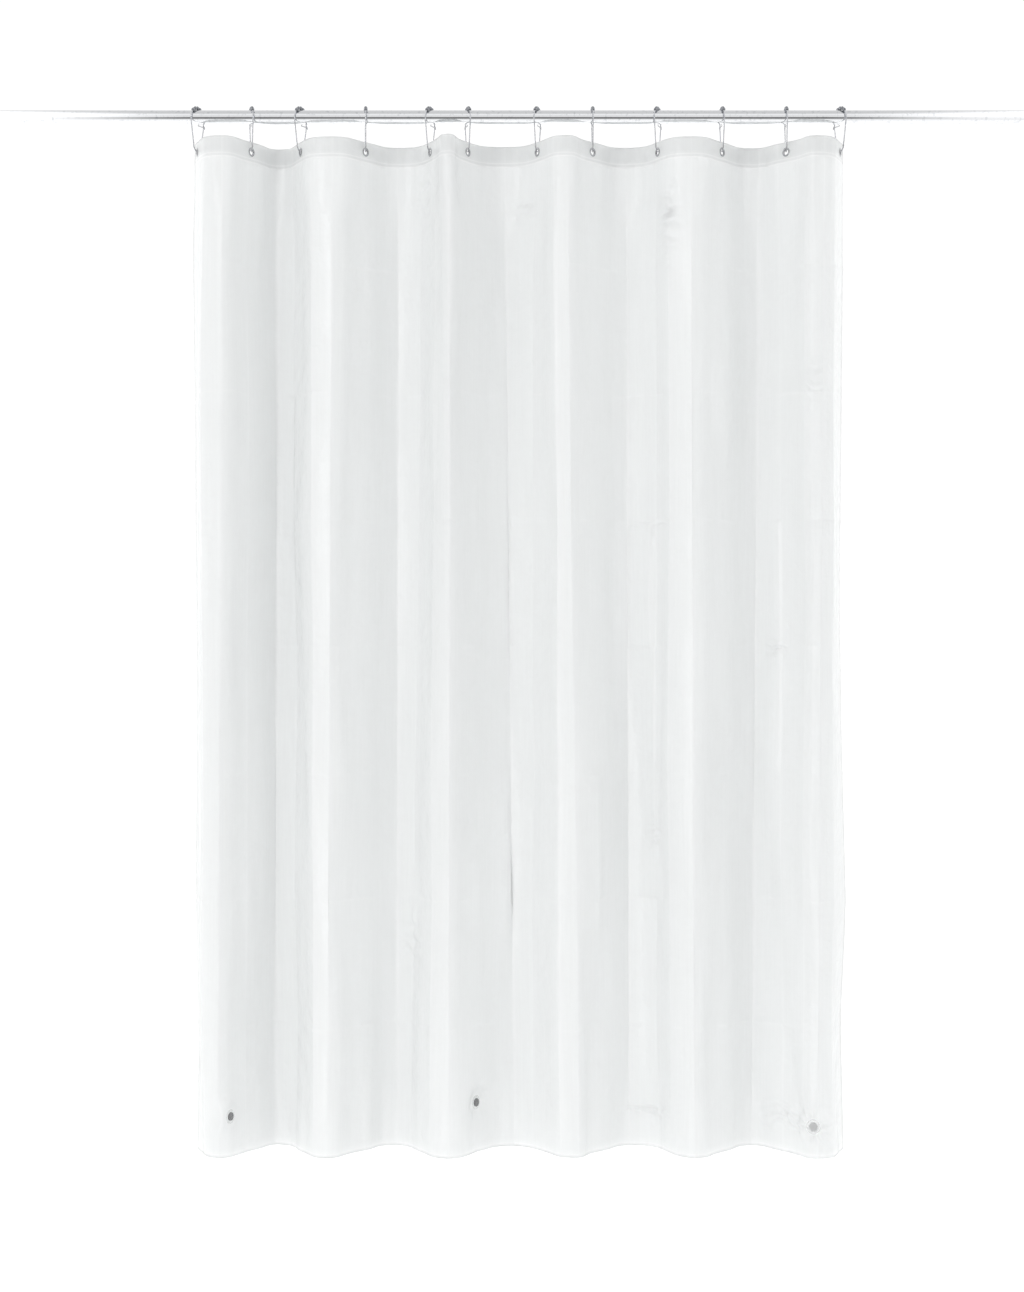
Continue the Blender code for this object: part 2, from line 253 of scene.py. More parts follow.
# Panels that lean sideways: across from and to, down from and to, height at the right (below 0 leans back)
TILTED_PANELS = (
    (1.205, 1.290, 0.691, 0.914, 0.0075),
    (1.232, 1.296, 0.914, 1.372, 0.0050),
    (0.588, 0.636, 1.320, 1.420, 0.0050),
    (1.090, 1.150, 1.143, 1.430, 0.0040),
    (0.262, 0.300, 0.457, 0.914, -0.0030),
    (1.590, 1.625, 0.686, 1.143, 0.0040),
)
PANEL_FADE = 0.006
# Soft folds that run across the facets: flat start, flat end, half width, height
SOFT_FOLDS = (
    ((1.575, 0.90), (1.700, 1.76), 0.020, 0.0035),
    ((1.560, 1.40), (1.700, 1.79), 0.013, -0.0020),
    ((0.360, 0.95), (0.452, 1.72), 0.018, 0.0020),
)
# Crinkles left by handling: across, down, half width, half height, ridge pitch, depth
CRINKLES = (
    (1.352, 0.150, 0.026, 0.055, 0.018, 0.0030),
    (0.655, 0.085, 0.024, 0.050, 0.024, 0.0018),
    (0.962, 0.120, 0.030, 0.020, 0.020, 0.0022),
    (0.640, 1.455, 0.030, 0.040, 0.030, 0.0026),
    (1.300, 0.700, 0.036, 0.014, 0.015, 0.0024),
    (1.715, 0.430, 0.018, 0.032, 0.016, 0.0020),
    (1.270, 1.760, 0.042, 0.010, 0.016, 0.0026),
    (1.300, 1.255, 0.022, 0.030, 0.020, 0.0020),
    (1.620, 0.920, 0.020, 0.016, 0.014, 0.0022),
    (1.640, 1.765, 0.050, 0.022, 0.016, 0.0016),
)


def flat_place(centre):
    """Flat coordinates of the film that hangs nearest to a point."""
    u = np.linspace(0.0, DROP, 4000)
    v = np.full_like(u, LINER_HIGH.z - centre.z)
    gap = np.linalg.norm(hang(u, v)[0] - np.array(centre), axis=1)
    return float(u[gap.argmin()]), float(v[0])


MAGNET_FLAT = [flat_place(centre) for centre, _ in MAGNET_AXES]


def ridge(distance, width):
    """A crease's profile: sharp on its line, fading on both sides."""
    return np.exp(-np.abs(distance) / width)


def bead(distance, width):
    """A rounded profile, as of a weld."""
    return np.exp(-((distance / width) ** 2))


def relief(u, v, depth):
    """How far the film stands out of its plain hanging shape, and how white its creases, welds and hem line are
    painted: partly the film's own stress whitening, partly painted highlight along those lines.
    """
    free = smoothstep(0.040, 0.200, v)
    panels = 0.0052 * soft_noise(u, v, DROP / 16, DROP / 8, 5, sharp=True)
    sway = 0.0022 * soft_noise(u, v, 0.060, 0.420, 11) + 0.0008 * soft_noise(u, v, 0.024, 0.160, 12)
    out = free * (panels + sway)
    # white painted along the creases, welds and hem line: partly the film's stress whitening, partly painted
    # highlight for the light these lines catch
    whitening_and_highlight = np.zeros_like(u)
    for k, row in enumerate(CREASE_ROWS):
        strength = smoothstep(0.12, 0.75, np.abs(soft_noise(u, v, 0.040, DROP, 20 + k)))
        wave = 0.0012 * np.sin(u * 37.0 + k)
        out += (-1) ** k * 1.7 * depth * ridge(v - row - wave, 0.0040) * strength
        whitening_and_highlight = np.maximum(whitening_and_highlight, 0.15 * ridge(v - row - wave, 0.0016) * strength)
    for k, column in enumerate(crease_places(v).T[1:-1]):
        strength = 0.15 + 0.60 * np.abs(soft_noise(u, v, DROP, 0.210, 40 + k))
        line = ridge(u - column, 0.006) * strength * smoothstep(0.030, 0.090, v)
        out += (-1) ** k * 0.8 * depth * line
        whitening_and_highlight = np.maximum(whitening_and_highlight, 0.35 * ridge(u - column, 0.0016) * strength)
    for down in WELD_LINES:
        weld = bead(v - down, 0.0012)
        out += 0.0003 * weld
        whitening_and_highlight = np.maximum(whitening_and_highlight, 0.75 * weld)
    whitening_and_highlight = np.maximum(whitening_and_highlight, 0.5 * bead(v - HEM_LINE_DOWN, 0.0010))
    for u0, u1, v0, v1, height in TILTED_PANELS:
        share = np.clip((u - u0) / (u1 - u0), 0.0, 1.0) * (1.0 - smoothstep(u1, u1 + 2 * PANEL_FADE, u))
        above = 1.0 - smoothstep(v1 - PANEL_FADE, v1 + PANEL_FADE, v)
        out += height * share * smoothstep(v0 - PANEL_FADE, v0 + PANEL_FADE, v) * above
    for (u0, v0), (u1, v1), width, height in SOFT_FOLDS:
        span = math.hypot(u1 - u0, v1 - v0)
        along = ((u - u0) * (u1 - u0) + (v - v0) * (v1 - v0)) / span
        across = ((u - u0) * (v1 - v0) - (v - v0) * (u1 - u0)) / span
        ends = smoothstep(0.0, 0.3 * span, along) * smoothstep(span, 0.8 * span, along)
        out += height * ends * bead(across, width)
    for k, (across, down, half_width, half_height, pitch, height) in enumerate(CRINKLES):
        du, dv = u - across, v - down
        patch = np.exp(-((du / half_width) ** 2) - (dv / half_height) ** 2)
        bend = 0.5 * pitch * soft_noise(u, v, 0.022, 0.030, 60 + k)
        out += height * patch * np.sin(2 * math.pi * (dv + bend) / pitch)
    out += 0.0020 * smoothstep(DROP - 0.22, DROP, v) * soft_noise(u, v, 0.038, DROP, 71)
    return out, whitening_and_highlight


def pucker(radius, angle, reach, count, height, seed):
    """Gathers that run out from a welded pocket."""
    rng = np.random.default_rng(seed)
    wave = np.zeros_like(angle)
    for k in range(3):
        wave += np.cos((count + 2 * k - 2) * angle + rng.uniform(0, 2 * math.pi)) * rng.uniform(0.5, 1.0)
    rise = smoothstep(0.011, 0.019, radius)
    return height * rise * bead(radius, reach) * wave


# Gathers round each magnet: reach, count, height, seed
PUCKERS = ((0.030, 9, 0.0003, 81), (0.034, 7, 0.0009, 82), (0.042, 11, 0.0015, 83))
PATCH_FLAT, PATCH_FREE = 0.014, 0.040  # the film lies flat to the first radius, and hangs free past the second


def film_surface(u, v, film, offset=0.0):
    """Places of flat film points, and how white the creases and welds are painted there, as stress whitening
    and painted highlight. The film lies flat under each magnet.
    """
    place, facing = hang(u, v)
    out, whitening_and_highlight = relief(u, v, film.crease_depth)
    for flat, (centre, normal), (reach, count, height, seed) in zip(MAGNET_FLAT, MAGNET_AXES, PUCKERS):
        du, dv = u - flat[0], v - flat[1]
        radius = np.hypot(du, dv)
        side = Vector((0, 0, 1)).cross(normal).normalized()
        side = side if side.x > 0 else -side
        base = np.array(centre - normal * (MAGNET_THICKNESS / 2 + CLEAR + film.thickness / 2))
        level = base + du[:, None] * np.array(side) - dv[:, None] * np.array((0.0, 0.0, 1.0))
        hold = 1.0 - smoothstep(PATCH_FLAT, PATCH_FREE, radius)
        place = place + (level - place) * hold[:, None]
        out = out * (1.0 - hold) + pucker(radius, np.arctan2(dv, du), reach, count, height, seed)
    return place + facing * (out + offset)[:, None], whitening_and_highlight


# ---- small tools -----------------------------------------------------------------------------------


def linear(hex_colour):
    """An sRGB hex colour as linear values."""
    channels = [int(hex_colour[i : i + 2], 16) / 255 for i in (1, 3, 5)]
    return (*[c / 12.92 if c <= 0.04045 else ((c + 0.055) / 1.055) ** 2.4 for c in channels], 1.0)


def add(tree, kind, inputs=None, **settings):
    """A node with its settings. Its inputs are values, sockets, or nodes that stand for their first output."""
    node = tree.nodes.new(kind)
    for name, value in settings.items():
        setattr(node, name, value)
    for socket, value in (inputs or {}).items():
        if isinstance(value, bpy.types.Node):
            value = value.outputs[0]
        if isinstance(value, bpy.types.NodeSocket):
            tree.links.new(value, node.inputs[socket])
        else:
            node.inputs[socket].default_value = value
    return node


def new_material(name):
    """A material with an empty node tree and its output."""
    made = bpy.data.materials.new(name)
    made.use_nodes = True
    tree = made.node_tree
    tree.nodes.clear()
    return made, tree, add(tree, "ShaderNodeOutputMaterial")


def link_object(name, mesh, material):
    obj = bpy.data.objects.new(name, mesh)
    bpy.context.scene.collection.objects.link(obj)
    mesh.materials.clear()
    mesh.materials.append(material)
    return obj


def evaluated_mesh(obj):
    """The evaluated object as a mesh. The object itself goes."""
    bpy.context.view_layer.update()
    mesh = bpy.data.meshes.new_from_object(obj.evaluated_get(bpy.context.evaluated_depsgraph_get()))
    bpy.data.objects.remove(obj, do_unlink=True)
    return mesh


def bake_modifiers(obj, name, material):
    """The evaluated object as a plain mesh object of its own, in place of the object."""
    mesh = evaluated_mesh(obj)
    mesh.name = name
    return link_object(name, mesh, material)


def smooth_mesh(name, bm):
    """The finished mesh of a shape under work, with smooth shading."""
    mesh = bpy.data.meshes.new(name)
    bm.to_mesh(mesh)
    bm.free()
    mesh.shade_smooth()
    return mesh


def bevelled_bar(name, size, height, bevel):
    """A box with its edges rounded and its centre at a height on Z."""
    bm = bmesh.new()
    bmesh.ops.create_cube(bm, size=1.0)
    bmesh.ops.scale(bm, vec=size, verts=bm.verts)
    bmesh.ops.translate(bm, vec=(0.0, 0.0, height), verts=bm.verts)
    bmesh.ops.bevel(bm, geom=bm.edges[:], offset=bevel, segments=2, affect="EDGES", profile=0.5)
    return smooth_mesh(name, bm)


def lathe(name, profile, segments, closed=True):
    """A profile of (radius, height) turned about Z, as a closed mesh."""
    bm = bmesh.new()
    verts = [bm.verts.new((r, 0.0, h)) for r, h in profile]
    edges = [bm.edges.new(pair) for pair in zip(verts, verts[1:])]
    if closed:
        edges.append(bm.edges.new((verts[-1], verts[0])))
    bmesh.ops.spin(
        bm, geom=verts + edges, cent=(0, 0, 0), axis=(0, 0, 1), angle=2 * math.pi, steps=segments,
        use_merge=True,
    )
    bmesh.ops.remove_doubles(bm, verts=bm.verts, dist=0.000005)
    bmesh.ops.recalc_face_normals(bm, faces=bm.faces)
    if bm.calc_volume(signed=True) < 0:
        bmesh.ops.reverse_faces(bm, faces=bm.faces)
    mesh = smooth_mesh(name, bm)
    mesh.set_sharp_from_angle(angle=math.radians(40))
    return mesh


def round_profile(outer, inner, low, high, corner, steps=4):
    """A ring's section with its four corners rounded, run down its outer side."""
    corners = (
        (outer - corner, high - corner, 90, 0), (outer - corner, low + corner, 0, -90),
        (inner + corner, low + corner, -90, -180), (inner + corner, high - corner, 180, 90),
    )
    points = []
    for x, z, start, end in corners:
        for i in range(steps + 1):
            angle = math.radians(start + (end - start) * i / steps)
            points.append((x + corner * math.cos(angle), z + corner * math.sin(angle)))
    return points


def stand_on(centre, normal):
    """Turns local +Z to a normal, with local X level, and moves to a centre."""
    side = Vector((0, 0, 1)).cross(normal).normalized()
    up = normal.cross(side)
    return Matrix.Translation(centre) @ Matrix((side, up, normal)).transposed().to_4x4()


def placed(name, mesh, matrix, material):
    """A copy of a mesh at its place, its object at the origin."""
    copy = mesh.copy()
    copy.transform(matrix)
    copy.name = name
    return link_object(name, copy, material)


def ride_and_replace(piece, body, slot, *nodes):
    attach(piece, body)
    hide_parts(*nodes)
    return piece


# ---- materials -------------------------------------------------------------------------------------


def film_material(name, colour, through, roughness):
    """Calendered EVA film, a soft white plastic, rolled satin: light spreads in it and slides off creases."""
    made, tree, output = new_material(name)
    flat = add(tree, "ShaderNodeUVMap", uv_map="Flat")
    # whitening of the creases and welds, which is partly painted highlight
    whitening_and_highlight = add(tree, "ShaderNodeAttribute", attribute_name="whitening_and_highlight").outputs["Fac"]
    # lines from the rollers, 4 mm apart and a hand long, which are coarser than the real ones so that they show
    lines = add(tree, "ShaderNodeMapping", {"Vector": flat, "Scale": (250.0, 7.0, 1.0)})
    lines = add(tree, "ShaderNodeTexNoise", {"Vector": lines, "Scale": 1.0, "Detail": 3.0}).outputs["Fac"]
    # rolled grain, about 1.5 mm
    grain = add(tree, "ShaderNodeTexNoise", {"Vector": flat, "Scale": 650.0, "Detail": 2.0}).outputs["Fac"]
    # the slight crumple of unfolded film, 10 to 40 mm
    crumple = add(tree, "ShaderNodeTexNoise", {"Vector": flat, "Scale": 26.0, "Detail": 3.0}).outputs["Fac"]
    height = add(tree, "ShaderNodeMath", {0: lines, 1: 0.10}, operation="MULTIPLY")
    height = add(tree, "ShaderNodeMath", {0: grain, 1: 0.02, 2: height}, operation="MULTIPLY_ADD")
    height = add(tree, "ShaderNodeMath", {0: crumple, 1: 5.0, 2: height}, operation="MULTIPLY_ADD")
    bump = add(tree, "ShaderNodeBump", {"Height": height, "Strength": 1.0, "Distance": 0.0006})
    milk = add(
        tree, "ShaderNodeMix", {"Factor": lines, 6: linear(colour[0]), 7: linear(colour[1])}, data_type="RGBA"
    ).outputs[2]
    # stressed film whitens along its creases and welds, and this whitening is also a painted highlight along
    # those lines
    white = add(tree, "ShaderNodeMath", {0: whitening_and_highlight, 1: 0.85}, operation="MULTIPLY")
    milk = add(
        tree, "ShaderNodeMix", {"Factor": white, 6: milk, 7: linear("#FFFFFF")}, data_type="RGBA"
    ).outputs[2]
    gloss = add(
        tree, "ShaderNodeMapRange",
        {"Value": lines, "To Min": roughness - 0.03, "To Max": roughness + 0.03},
    )
    skin = add(
        tree, "ShaderNodeBsdfPrincipled",
        {"Base Color": milk, "Roughness": gloss, "IOR": 1.49, "Normal": bump, "Specular IOR Level": 0.5},
    )
    glow = add(tree, "ShaderNodeBsdfTranslucent", {"Color": milk, "Normal": bump})
    mixed = add(tree, "ShaderNodeMixShader", {0: through, 1: skin, 2: glow})
    tree.links.new(mixed.outputs[0], output.inputs[0])
    return made


def clear_film_material(name, milkiness):
    """Clear EVA film over a magnet: thinner and pressed on, so that the grey disc shows through it."""
    made, tree, output = new_material(name)
    place = add(tree, "ShaderNodeTexCoord").outputs["Object"]
    grain = add(tree, "ShaderNodeTexNoise", {"Vector": place, "Scale": 420.0, "Detail": 2.0}).outputs["Fac"]
    bump = add(tree, "ShaderNodeBump", {"Height": grain, "Strength": 0.2, "Distance": 0.0004})
    skin = add(
        tree, "ShaderNodeBsdfPrincipled",
        {"Base Color": linear("#EDEEEE"), "Roughness": 0.24, "IOR": 1.49, "Normal": bump, "Alpha": milkiness},
    )
    tree.links.new(skin.outputs[0], output.inputs[0])
    return made


def metal_material(name, colour, dull, roughness, stretch, scale):
    """A bare or plated metal: its colour, a duller tint in patches, and fine lines of drawing or polishing."""
    made, tree, output = new_material(name)
    place = add(tree, "ShaderNodeTexCoord").outputs["Object"]
    along = add(tree, "ShaderNodeMapping", {"Vector": place, "Scale": stretch})
    lines = add(tree, "ShaderNodeTexNoise", {"Vector": along, "Scale": scale, "Detail": 3.0}).outputs["Fac"]
    spots = add(tree, "ShaderNodeTexNoise", {"Vector": place, "Scale": 160.0, "Detail": 4.0}).outputs["Fac"]
    patch = add(
        tree, "ShaderNodeMapRange", {"Value": spots, "From Min": 0.55, "From Max": 0.75}
    )
    tint = add(
        tree, "ShaderNodeMix", {"Factor": patch, 6: linear(colour), 7: linear(dull)}, data_type="RGBA"
    ).outputs[2]
    dullest = roughness * 1.5
    gloss = add(
        tree, "ShaderNodeMapRange",
        {"Value": lines, "From Min": 0.3, "From Max": 0.7, "To Min": roughness * 0.7, "To Max": dullest},
    )
    bump = add(tree, "ShaderNodeBump", {"Height": lines, "Strength": 0.06, "Distance": 0.0002})
    shine = add(
        tree, "ShaderNodeBsdfPrincipled",
        {"Base Color": tint, "Roughness": gloss, "Metallic": 1.0, "Normal": bump},
    )
    tree.links.new(shine.outputs[0], output.inputs[0])
    return made


def dull_material(name, colour, other, roughness, scale, relief_mm):
    """A dull moulded or sintered solid: two close colours in a fine grain, and that grain in its surface."""
    made, tree, output = new_material(name)
    place = add(tree, "ShaderNodeTexCoord").outputs["Object"]
    grain = add(tree, "ShaderNodeTexNoise", {"Vector": place, "Scale": scale, "Detail": 4.0}).outputs["Fac"]
    tint = add(
        tree, "ShaderNodeMix", {"Factor": grain, 6: linear(colour), 7: linear(other)}, data_type="RGBA"
    ).outputs[2]
    bump = add(
        tree, "ShaderNodeBump", {"Height": grain, "Strength": 0.4, "Distance": relief_mm / 1000}
    )
    skin = add(
        tree, "ShaderNodeBsdfPrincipled", {"Base Color": tint, "Roughness": roughness, "Normal": bump}
    )
    tree.links.new(skin.outputs[0], output.inputs[0])
    return made


# ---- film ------------------------------------------------------------------------------------------

# Where the film's mesh is finer: across, down, half width, half height, splits
EYELET_ZONES = [(across, EYELET_DROP, 0.0110, 0.0110, 2) for across in EYELET_FLAT]
MAGNET_ZONES = [(*flat, reach, reach, 1) for flat, reach in zip(MAGNET_FLAT, (0.024, 0.030, 0.062))]
MAGNET_ZONES.append((*MAGNET_FLAT[2], 0.038, 0.038, 1))
CRINKLE_ZONES = [(across, down, 1.5 * width, 1.5 * height, 2) for across, down, width, height, _, _ in CRINKLES]
FINE_TOP = HEADER_HEIGHT + 0.003  # rows are close from the top edge to here
FINE_HEM = DROP - 0.130  # and from here to the hem


def stations(start, end, step, lines=(), offsets=()):
    """Rising distances from start to end at a step, with close stations at and beside each crease line."""
    close = [line + offset for line in lines for offset in offsets if start < line + offset < end]
    even = np.linspace(start, end, max(2, round((end - start) / step) + 1))
    keep = [x for x in even[1:-1] if all(abs(x - c) > 0.35 * step for c in close)]
    return sorted([start, end, *keep, *close])


def flat_film(columns, rows, zones):
    """A flat grid whose upright lines follow the creases, finer inside round zones, each with its splits."""
    bm = bmesh.new()
    tops, hems = crease_places(np.array((0.0, DROP)))
    grid = []
    for v in rows:
        warped = np.interp(columns, tops, tops + (hems - tops) * v / DROP)
        grid.append([bm.verts.new((u, v, 0.0)) for u in warped])
    for upper, lower in zip(grid, grid[1:]):
        for a, b, c, d in zip(upper, upper[1:], lower[1:], lower):
            bm.faces.new((a, d, c, b))
    for across, down, half_width, half_height, splits in zones:
        for _ in range(splits):
            edges = set()
            for face in bm.faces:
                centre = face.calc_center_median()
                if math.hypot((centre.x - across) / half_width, (centre.y - down) / half_height) < 1:
                    edges.update(face.edges)
            bmesh.ops.subdivide_edges(bm, edges=list(edges), cuts=1, use_grid_fill=True)
    return bm


def cut_eyelet_holes(bm, hole):
    """Opens a round hole at each eyelet of the flat film."""
    for across in EYELET_FLAT:
        centre = Vector((across, EYELET_DROP, 0.0))
        inside = [f for f in bm.faces if (f.calc_center_median() - centre).length < hole]
        bmesh.ops.delete(bm, geom=inside, context="FACES")
        for vert in bm.verts:
            away = vert.co - centre
            if vert.is_boundary and away.length < 1.8 * hole:
                vert.co = centre + away.normalized() * hole


def hang_film(name, bm, film, offset, thickness, material):
    """Hangs flat film in its folds and gives it its thickness. Its flat place stays as a UV map in metres."""
    bm.verts.ensure_lookup_table()
    flat = np.array([v.co[:2] for v in bm.verts])
    layer = bm.loops.layers.uv.new("Flat")
    for face in bm.faces:
        for loop in face.loops:
            loop[layer].uv = loop.vert.co[:2]
    places, whitening_and_highlight = film_surface(flat[:, 0], flat[:, 1], film, offset)
    for vert, place in zip(bm.verts, places):
        vert.co = place
    mesh = smooth_mesh(name, bm)
    # the painted whitening and highlight along creases and welds, for each point
    mesh.attributes.new("whitening_and_highlight", "FLOAT", "POINT").data.foreach_set("value", whitening_and_highlight.astype(np.float32))
    obj = link_object(name, mesh, material)
    solidify = obj.modifiers.new("Film", "SOLIDIFY")
    solidify.thickness = thickness
    solidify.offset = 0.0
    return bake_modifiers(obj, name, material)


def close_up(obj):
    """Gives the film its own copy of its mesh."""
    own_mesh(obj)


# ---- hooks -----------------------------------------------------------------------------------------


def arc(y, z, radius, start, end, steps):
    """Points of an arc in a hook's plane, by angles in degrees."""
    angles = [math.radians(start + (end - start) * i / steps) for i in range(steps + 1)]
    return [Vector((0.0, y + radius * math.cos(a), z + radius * math.sin(a))) for a in angles]


LATCH_GAP = 0.0009  # under the rod
LATCH_STEP, LATCH_END = 0.0025, 0.0165
KNEE_RADIUS = 0.0025
CATCH = [Vector((0.0, 0.0212, -0.0140)), Vector((0.0, 0.0222, -0.0180))]  # the crown's free end behind the rod


def crown_height(hook):
    """The centre of the crown's bend, with the balls resting on the rod."""
    return ROD_RADIUS + hook.ball_radius + 0.0003 - hook.crown_radius


def hook_route(hook):
    """The wire from its latch, down behind, through the eyelet, up in front and over the rod."""
    foot_z = EYELET_Z + 0.0006 + hook.foot_radius
    latch_z = -(ROD_RADIUS + hook.wire_radius + LATCH_GAP)
    latch = [Vector((0.0, 0.0015 + LATCH_STEP * i, latch_z)) for i in range(7)]
    knee = arc(LATCH_END, latch_z - KNEE_RADIUS, KNEE_RADIUS, 75, 10, 6)
    foot = arc(0.0, foot_z, hook.foot_radius, 0, -180, 20)
    crown = arc(0.0, crown_height(hook), hook.crown_radius, 180, -25, 36)
    return latch + knee + foot + crown + CATCH


def wire_mesh(name, points, radius):
    """A round wire through the points, its two tips rounded."""
    curve = bpy.data.curves.new(name, "CURVE")
    curve.dimensions = "3D"
    curve.bevel_depth = radius
    curve.bevel_resolution = 3
    curve.use_fill_caps = True
    tips = [(0.0, 0.35), (0.25, 0.72), (0.6, 0.93)]
    first, last = (points[1] - points[0]).normalized(), (points[-1] - points[-2]).normalized()
    route = [(points[0] + first * radius * step, width) for step, width in tips]
    route += [(p, 1.0) for p in points[1:-1]]
    route += [(points[-1] - last * radius * step, width) for step, width in reversed(tips)]
    spline = curve.splines.new("POLY")
    spline.points.add(len(route) - 1)
    for point, (place, width) in zip(spline.points, route):
        point.co = (*place, 1.0)
        point.radius = width
    obj = bpy.data.objects.new(name, curve)
    bpy.context.scene.collection.objects.link(obj)
    mesh = evaluated_mesh(obj)
    bm = bmesh.new()
    bm.from_mesh(mesh)
    bmesh.ops.remove_doubles(bm, verts=bm.verts, dist=0.00001)
    bmesh.ops.recalc_face_normals(bm, faces=bm.faces)
    bm.to_mesh(mesh)
    bm.free()
    mesh.shade_smooth()
    return mesh


def hook_stand(tag):
    """A hook's place on the rod and its turn about the vertical, read from its wire."""
    normal = flat_axes(f"hook_wire_{tag}")[1]
    normal = normal if normal.x > 0 else -normal
    x = EYELET_X[TAGS.index(tag)]
    return x, math.atan2(normal.y, normal.x)


def tree_with(name, sockets):
    """A geometry node tree with named inputs, and its input and output nodes."""
    tree = bpy.data.node_groups.new(name, "GeometryNodeTree")
    tree.interface.new_socket("Geometry", in_out="OUTPUT", socket_type="NodeSocketGeometry")
    for label, kind in sockets:
        tree.interface.new_socket(label, in_out="INPUT", socket_type=f"NodeSocket{kind}")
    return tree, add(tree, "NodeGroupInput"), add(tree, "NodeGroupOutput")


def grown(name, tree, values, material):
    """What a node tree makes from its named input values, as a plain mesh object."""
    obj = link_object(name, bpy.data.meshes.new(name), material)
    modifier = obj.modifiers.new("Grow", "NODES")
    modifier.node_group = tree
    ids = {item.name: item.identifier for item in tree.interface.items_tree if item.in_out == "INPUT"}
    for label, value in values.items():
        modifier[ids[label]] = value
    return bake_modifiers(obj, name, material)


def make_real(tree, copies, material, made):
    """Ends a tree: its copies become one mesh of a material."""
    real = add(tree, "GeometryNodeRealizeInstances", {"Geometry": copies})
    coated = add(tree, "GeometryNodeSetMaterial", {"Geometry": real, "Material": material})
    tree.links.new(coated.outputs[0], made.inputs[0])
    return tree


def ball_string_tree():
    """Balls side by side along an arc about the rod, each turned to the wire that it is threaded on."""
    tree, given, made = tree_with("Ball string", (
        ("Ball", "Object"), ("Material", "Material"), ("Count", "Int"), ("Ball radius", "Float"),
        ("Crown radius", "Float"), ("Crown height", "Float"), ("Along rod", "Float"), ("Turn", "Float"),
    ))
    put = given.outputs
    middle = add(tree, "ShaderNodeMath", {0: put["Count"], 1: 1.0}, operation="SUBTRACT")
    middle = add(tree, "ShaderNodeMath", {0: middle, 1: 0.5}, operation="MULTIPLY")
    index = add(tree, "GeometryNodeInputIndex")
    step = add(tree, "ShaderNodeMath", {0: index, 1: middle}, operation="SUBTRACT")
    pitch = add(tree, "ShaderNodeMath", {0: put["Ball radius"], 1: put["Crown radius"]}, operation="DIVIDE")
    pitch = add(tree, "ShaderNodeMath", {0: pitch, 1: 2.0}, operation="MULTIPLY")
    angle = add(tree, "ShaderNodeMath", {0: step, 1: pitch}, operation="MULTIPLY")
    sine = add(tree, "ShaderNodeMath", {0: angle}, operation="SINE")
    cosine = add(tree, "ShaderNodeMath", {0: angle}, operation="COSINE")
    across = add(tree, "ShaderNodeMath", {0: sine, 1: put["Crown radius"]}, operation="MULTIPLY")
    above = {0: cosine, 1: put["Crown radius"], 2: put["Crown height"]}
    above = add(tree, "ShaderNodeMath", above, operation="MULTIPLY_ADD")
    place = add(tree, "ShaderNodeCombineXYZ", {"Y": across, "Z": above})
    lean = add(tree, "ShaderNodeMath", {0: angle, 1: -1.0}, operation="MULTIPLY")
    lean = add(tree, "ShaderNodeMath", {0: lean, 1: math.pi / 2}, operation="ADD")
    spin = add(tree, "ShaderNodeCombineXYZ", {"X": lean})
    spots = add(tree, "GeometryNodeMeshLine", {"Count": put["Count"]})
    spots = add(tree, "GeometryNodeSetPosition", {"Geometry": spots, "Position": place})
    ball = add(tree, "GeometryNodeObjectInfo", {"Object": put["Ball"]}).outputs["Geometry"]
    balls = add(tree, "GeometryNodeInstanceOnPoints", {"Points": spots, "Instance": ball, "Rotation": spin})
    shift = add(tree, "ShaderNodeCombineXYZ", {"X": put["Along rod"]})
    turn = add(tree, "ShaderNodeCombineXYZ", {"Z": put["Turn"]})
    balls = add(
        tree, "GeometryNodeTransform", {"Geometry": balls, "Translation": shift, "Rotation": turn}
    )
    return make_real(tree, balls, put["Material"], made)


def ring_tree():
    """Copies of a small part round a circle, each turned to face outwards."""
    tree, given, made = tree_with("Ring of parts", (
        ("Part", "Object"), ("Material", "Material"), ("Count", "Int"), ("Radius", "Float"),
    ))
    put = given.outputs
    share = add(tree, "ShaderNodeMath", {0: 2 * math.pi, 1: put["Count"]}, operation="DIVIDE")
    index = add(tree, "GeometryNodeInputIndex")
    angle = add(tree, "ShaderNodeMath", {0: index, 1: share}, operation="MULTIPLY")
    spin = add(tree, "ShaderNodeCombineXYZ", {"Z": angle})
    circle = add(tree, "GeometryNodeMeshCircle", {"Vertices": put["Count"], "Radius": put["Radius"]})
    part = add(tree, "GeometryNodeObjectInfo", {"Object": put["Part"]}).outputs["Geometry"]
    parts = add(tree, "GeometryNodeInstanceOnPoints", {"Points": circle, "Instance": part, "Rotation": spin})
    return make_real(tree, parts, put["Material"], made)


# ---- settings --------------------------------------------------------------------------------------


def length(label, words, size):
    return bpy.props.FloatProperty(
        name=label, description=words, default=size, min=0.0, unit="LENGTH", precision=5
    )


class CurtainFilmSettings(bpy.types.PropertyGroup):
    thickness: length("Film", "Thickness of the liner's film", 0.0003)
    header_thickness: length("Header film", "Thickness of the film that is folded back at the top", 0.0003)
    crease_depth: length("Crease depth", "Height of the packing creases", 0.0009)
    column_step: length("Column step", "Mesh size across the film", 0.0100)
    row_step: length("Row step", "Mesh size down the film", 0.0200)
    hole: length("Eyelet hole", "Radius of the holes in the film", 0.0060)


class CurtainHookSettings(bpy.types.PropertyGroup):
    wire_radius: length("Wire", "Radius of the hook's wire", 0.0011)
    crown_radius: length("Crown", "Radius of the hook's crown over the rod", 0.0200)
    foot_radius: length("Foot", "Radius of the bend that holds the eyelet", 0.0110)
    ball_radius: length("Ball", "Radius of a roller ball", 0.0035)
    ball_bore: length("Ball bore", "Radius of the hole through a ball", 0.0013)
    ball_count: bpy.props.IntProperty(name="Balls", description="Roller balls on each hook", default=5, min=1)


